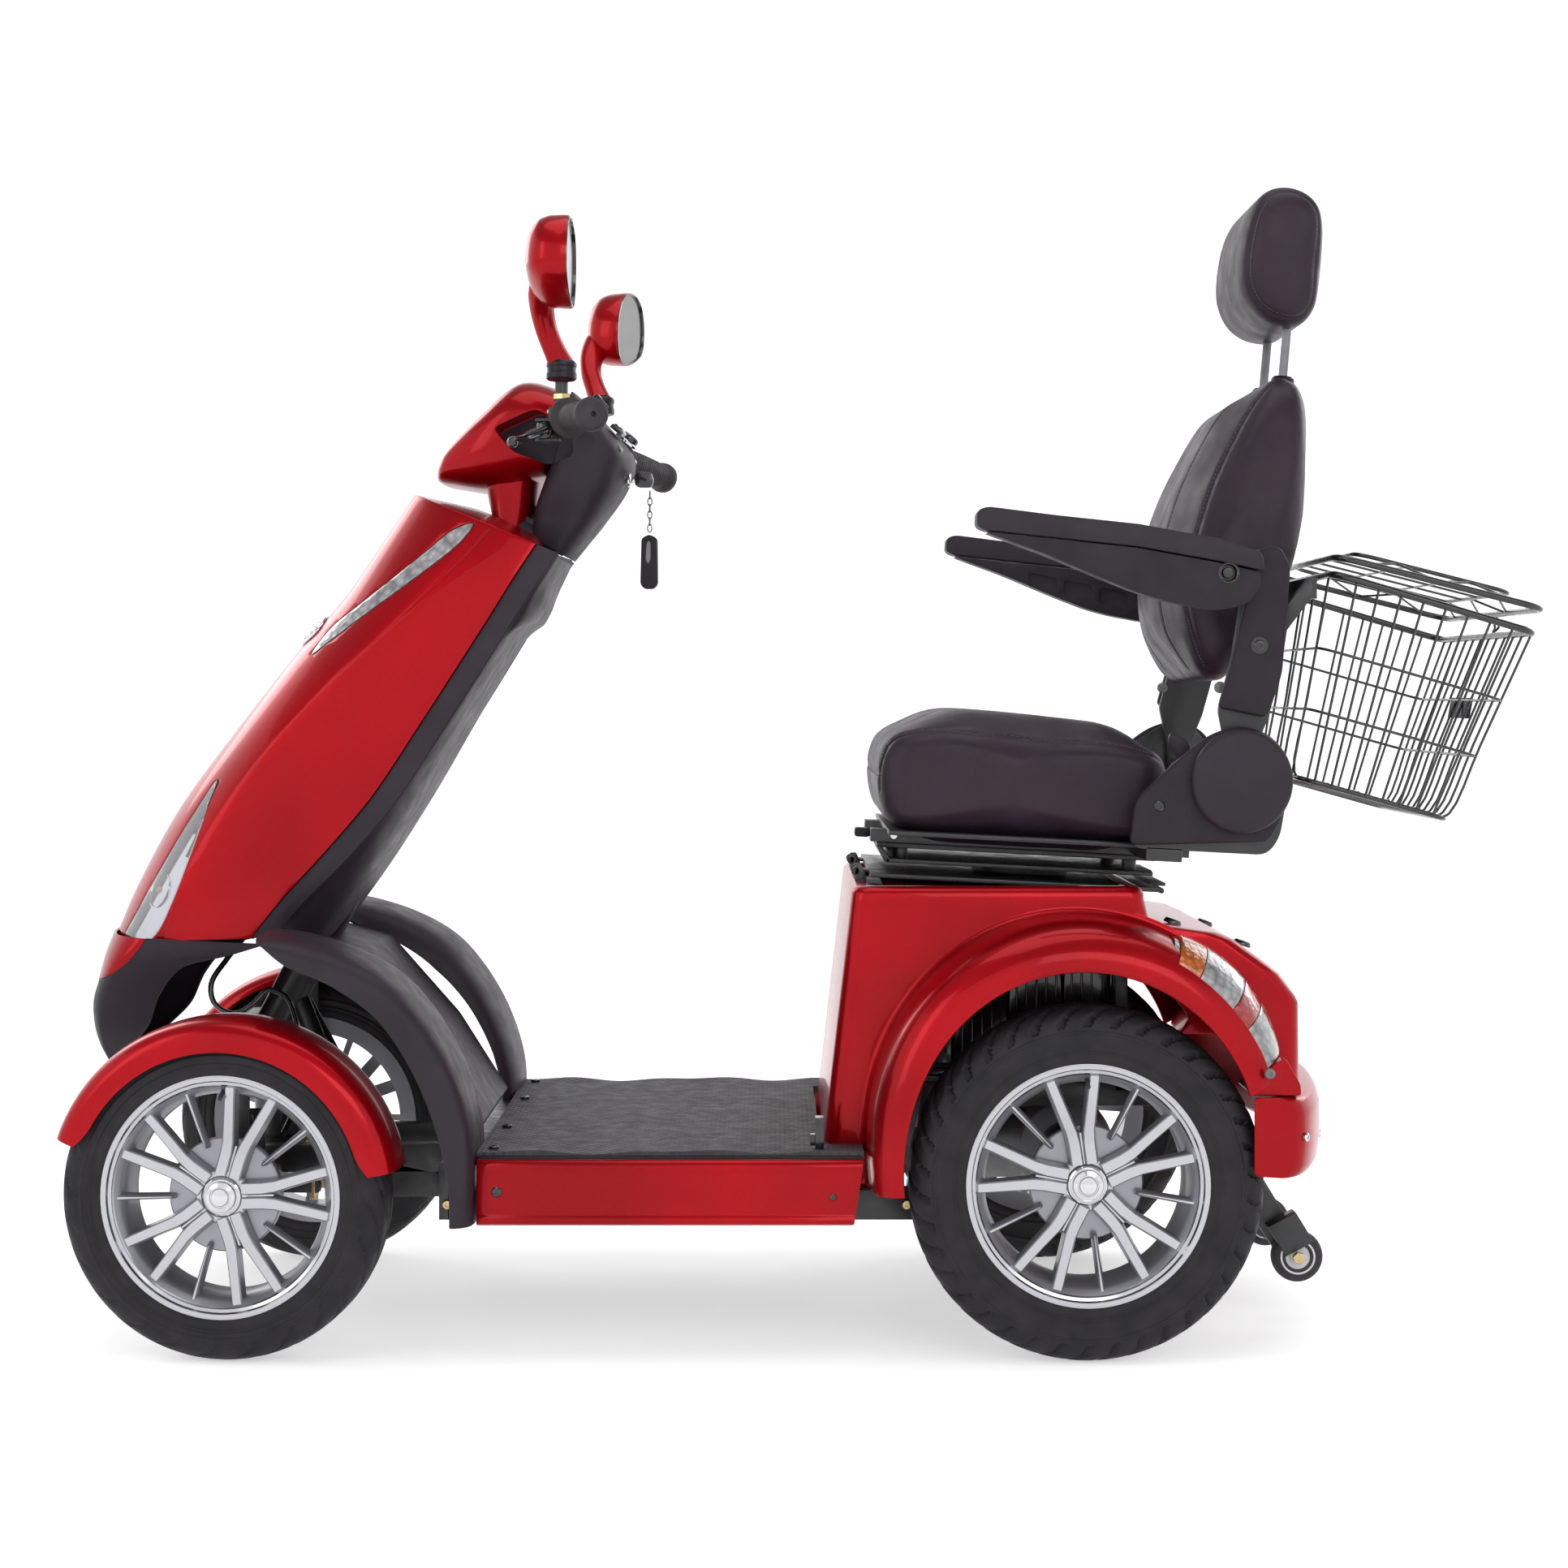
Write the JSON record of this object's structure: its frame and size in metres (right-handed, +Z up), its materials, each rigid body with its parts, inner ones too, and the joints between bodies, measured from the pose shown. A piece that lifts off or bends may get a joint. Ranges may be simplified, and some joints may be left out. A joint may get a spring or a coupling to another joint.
{
  "type": "mobility scooter",
  "caption": "Four-wheel mobility scooter with a tiller, captain's seat, mirrors, lamps and a rear wire basket.",
  "frame": {"origin": "on the floor at the middle of the scooter's length and width", "axes": "+Z up, front of the scooter towards -X, driver's left towards -Y"},
  "size_m": [1.755, 0.7209, 1.399],
  "materials": {
    "red_paint": "candy red metallic clearcoat over moulded plastic",
    "black_plastic": "fine-textured black moulded plastic",
    "gloss_black": "smooth gloss black",
    "leather": "black grained leatherette with stitched seams",
    "black_steel": "semi-gloss black powder coat",
    "alloy": "silver paint with machined faces and polished lip",
    "tyre": "black tyre rubber",
    "rubber": "matt ribbed rubber",
    "clear_lens": "clear moulded lens",
    "tail_lens": "red and amber lens behind clear cover",
    "cast_alloy": "cast gearbox housing",
    "black_wire": "plastic-coated black wire",
    "chrome": "polished chrome",
    "mirror_glass": "mirror glass"
  },
  "bodies": {
    "chassis": {"frame": "black_steel", "floor_mat": "rubber", "sill_left": "red_paint", "sill_right": "red_paint", "inner_fender_left": "black_plastic", "inner_fender_right": "black_plastic", "front_cowl": "red_paint", "headlamp_left": "clear_lens", "headlamp_right": "clear_lens", "leg_shield": "black_plastic", "brake_cable": "rubber", "rear_body": "red_paint", "tail_lamp_left": "tail_lens", "tail_lamp_right": "tail_lens", "rear_bumper": "red_paint", "transaxle": "cast_alloy", "battery_pack": "gloss_black"},
    "knuckle_left": {"knuckle_left": "black_steel", "front_fender_left": "red_paint"},
    "knuckle_right": {"knuckle_right": "black_steel", "front_fender_right": "red_paint"},
    "tiller": {"tiller_stem": "black_steel", "tiller_shroud": "red_paint", "tiller_console": "black_plastic", "grip_left": "rubber"},
    "throttle": {"throttle_grip": "rubber"},
    "speed_knob": {"speed_knob": "black_plastic"},
    "horn_button": {"horn_button": "gloss_black"},
    "indicator_switch": {"indicator_switch": "gloss_black"},
    "key": {"key": "gloss_black"},
    "key_fob": {"key_fob": "gloss_black"},
    "seat_lid": {"seat_lid": "black_steel"},
    "swivel": {"swivel_plate": "black_steel"},
    "seat": {"seat_base": "black_steel", "seat_cushion": "leather", "hinge_cover_left": "black_plastic", "hinge_cover_right": "black_plastic"},
    "backrest": {"backrest_frame": "black_steel", "back_cushion": "leather", "basket": "black_wire"},
    "headrest": {"headrest": "leather"},
    "basket_lid": {"basket_lid": "black_wire"},
    "swivel_lever": {"swivel_lever": "black_plastic"},
    "recline_lever": {"recline_lever": "black_plastic"},
    "front_wheel_left": {"front_wheel_left_rim": "alloy", "front_wheel_left_tyre": "tyre"},
    "rear_wheel_left": {"rear_wheel_left_rim": "alloy", "rear_wheel_left_tyre": "tyre"},
    "anti_tip_wheel_left": {"anti_tip_wheel_left": "rubber"},
    "brake_lever_left": {"brake_lever_left": "black_steel"},
    "mirror_left": {"mirror_left": "red_paint"},
    "armrest_left": {"armrest_left": "black_plastic"},
    "front_wheel_right": {"front_wheel_right_rim": "alloy", "front_wheel_right_tyre": "tyre"},
    "rear_wheel_right": {"rear_wheel_right_rim": "alloy", "rear_wheel_right_tyre": "tyre"},
    "anti_tip_wheel_right": {"anti_tip_wheel_right": "rubber"},
    "brake_lever_right": {"brake_lever_right": "black_steel"},
    "mirror_right": {"mirror_right": "red_paint"},
    "armrest_right": {"armrest_right": "black_plastic"}
  },
  "joints": [
    {"name": "steering", "type": "hinge", "parent": "chassis", "child": "tiller", "pos_m": [-0.3412, 0, 0.963], "axis": [0.4695, 0, 0.8829], "range_deg": [-31, 45]},
    {"name": "knuckle_left_turn", "type": "hinge", "parent": "chassis", "child": "knuckle_left", "pos_m": [-0.6602, -0.225, 0.191], "axis": [0, 0, 1], "range_deg": [-21.8, 31.6]},
    {"name": "front_wheel_left_spin", "type": "hinge", "parent": "knuckle_left", "child": "front_wheel_left", "pos_m": [-0.66618, -0.29474, 0.191], "axis": [0.0854, 0.9963, 0], "continuous": true},
    {"name": "rear_wheel_left_spin", "type": "hinge", "parent": "chassis", "child": "rear_wheel_left", "pos_m": [0.3258, -0.295, 0.205], "axis": [0, 1, 0], "continuous": true},
    {"name": "anti_tip_left_spin", "type": "hinge", "parent": "chassis", "child": "anti_tip_wheel_left", "pos_m": [0.6048, -0.112, 0.081], "axis": [0, 1, 0], "continuous": true},
    {"name": "knuckle_right_turn", "type": "hinge", "parent": "chassis", "child": "knuckle_right", "pos_m": [-0.6602, 0.225, 0.191], "axis": [0, 0, 1], "range_deg": [-21.8, 31.6]},
    {"name": "front_wheel_right_spin", "type": "hinge", "parent": "knuckle_right", "child": "front_wheel_right", "pos_m": [-0.65422, 0.29474, 0.191], "axis": [0.0854, 0.9963, 0], "continuous": true},
    {"name": "rear_wheel_right_spin", "type": "hinge", "parent": "chassis", "child": "rear_wheel_right", "pos_m": [0.3258, 0.295, 0.205], "axis": [0, 1, 0], "continuous": true},
    {"name": "anti_tip_right_spin", "type": "hinge", "parent": "chassis", "child": "anti_tip_wheel_right", "pos_m": [0.6048, 0.112, 0.081], "axis": [0, 1, 0], "continuous": true},
    {"name": "throttle_twist", "type": "hinge", "parent": "tiller", "child": "throttle", "pos_m": [-0.21389, 0.22211, 1.07058], "axis": [0.4804, 0.862, -0.1619], "range_deg": [0, 60], "stiffness_Nm_per_rad": 0.5},
    {"name": "brake_left_pull", "type": "hinge", "parent": "tiller", "child": "brake_lever_left", "pos_m": [-0.31225, -0.14714, 1.08653], "axis": [0.0031, 0.0572, 0.9984], "range_deg": [0, 15], "stiffness_Nm_per_rad": 4},
    {"name": "mirror_left_turn", "type": "hinge", "parent": "tiller", "child": "mirror_left", "pos_m": [-0.29284, -0.13305, 1.15778], "axis": [0.0031, 0.0572, 0.9984], "range_deg": [-30, 30]},
    {"name": "brake_right_pull", "type": "hinge", "parent": "tiller", "child": "brake_lever_right", "pos_m": [-0.27997, 0.15062, 1.06937], "axis": [-0.0031, -0.0572, -0.9984], "range_deg": [0, 15], "stiffness_Nm_per_rad": 4},
    {"name": "mirror_right_turn", "type": "hinge", "parent": "tiller", "child": "mirror_right", "pos_m": [-0.26314, 0.14089, 1.14199], "axis": [0.0031, 0.0572, 0.9984], "range_deg": [-30, 30]},
    {"name": "speed_knob_turn", "type": "hinge", "parent": "tiller", "child": "speed_knob", "pos_m": [-0.26008, -0.03575, 1.12456], "axis": [0.7524, -0.0437, 0.6573], "range_deg": [-135, 135]},
    {"name": "horn_press", "type": "slide", "parent": "tiller", "child": "horn_button", "axis": [-0.6281, 0.0233, -0.7778], "range_m": [0, 0.0025], "stiffness_N_per_m": 300},
    {"name": "indicator_slide", "type": "slide", "parent": "tiller", "child": "indicator_switch", "axis": [0.1076, 0.9925, -0.0572], "range_m": [-0.004, 0.004]},
    {"name": "key_turn", "type": "hinge", "parent": "tiller", "child": "key", "pos_m": [-0.21869, -0.009, 1.03726], "axis": [0.9942, -0.1076, 0.0031], "range_deg": [0, 60]},
    {"name": "key_fob_hang", "type": "hinge", "parent": "key", "child": "key_fob", "pos_m": [-0.19088, -0.01264, 1.02636], "axis": [0.9942, -0.1076, 0.0031], "range_deg": [-60, 0]},
    {"name": "seat_lid_tilt", "type": "hinge", "parent": "chassis", "child": "seat_lid", "pos_m": [0.0688, 0, 0.553], "axis": [0, -1, 0], "range_deg": [0, 15]},
    {"name": "seat_swivel", "type": "hinge", "parent": "seat_lid", "child": "swivel", "pos_m": [0.27525, 0, 0.5562], "axis": [0.0523, 0, 0.9986], "range_deg": [-90, 90]},
    {"name": "seat_slide", "type": "slide", "parent": "swivel", "child": "seat", "axis": [0.9986, 0, -0.0523], "range_m": [-0.05, 0.05]},
    {"name": "recline", "type": "hinge", "parent": "seat", "child": "backrest", "pos_m": [0.5088, 0, 0.669], "axis": [0, -1, 0], "range_deg": [-18, 35]},
    {"name": "armrest_left_lift", "type": "hinge", "parent": "backrest", "child": "armrest_left", "pos_m": [0.4888, -0.3, 0.908], "axis": [0, 1, 0], "range_deg": [0, 90]},
    {"name": "armrest_right_lift", "type": "hinge", "parent": "backrest", "child": "armrest_right", "pos_m": [0.4888, 0.3, 0.908], "axis": [0, 1, 0], "range_deg": [0, 90]},
    {"name": "headrest_rise", "type": "slide", "parent": "backrest", "child": "headrest", "axis": [0.0896, 0, 0.996], "range_m": [0, 0.06]},
    {"name": "basket_lid_open", "type": "hinge", "parent": "backrest", "child": "basket_lid", "pos_m": [0.6298, 0, 0.93], "axis": [0, -1, 0], "range_deg": [0, 100]},
    {"name": "swivel_lever_pull", "type": "hinge", "parent": "seat", "child": "swivel_lever", "pos_m": [0.13092, -0.07, 0.5918], "axis": [0, 0, -1], "range_deg": [0, 15], "stiffness_Nm_per_rad": 1},
    {"name": "recline_lever_pull", "type": "hinge", "parent": "seat", "child": "recline_lever", "pos_m": [0.4638, -0.24, 0.668], "axis": [0, 1, 0], "range_deg": [0, 20], "stiffness_Nm_per_rad": 1}
  ],
  "couplings": [
    {"joint": "knuckle_left_turn", "follows": "steering", "ratio": 0.7},
    {"joint": "knuckle_right_turn", "follows": "steering", "ratio": 0.7},
    {"joint": "key_fob_hang", "follows": "key_turn", "ratio": -1}
  ]
}
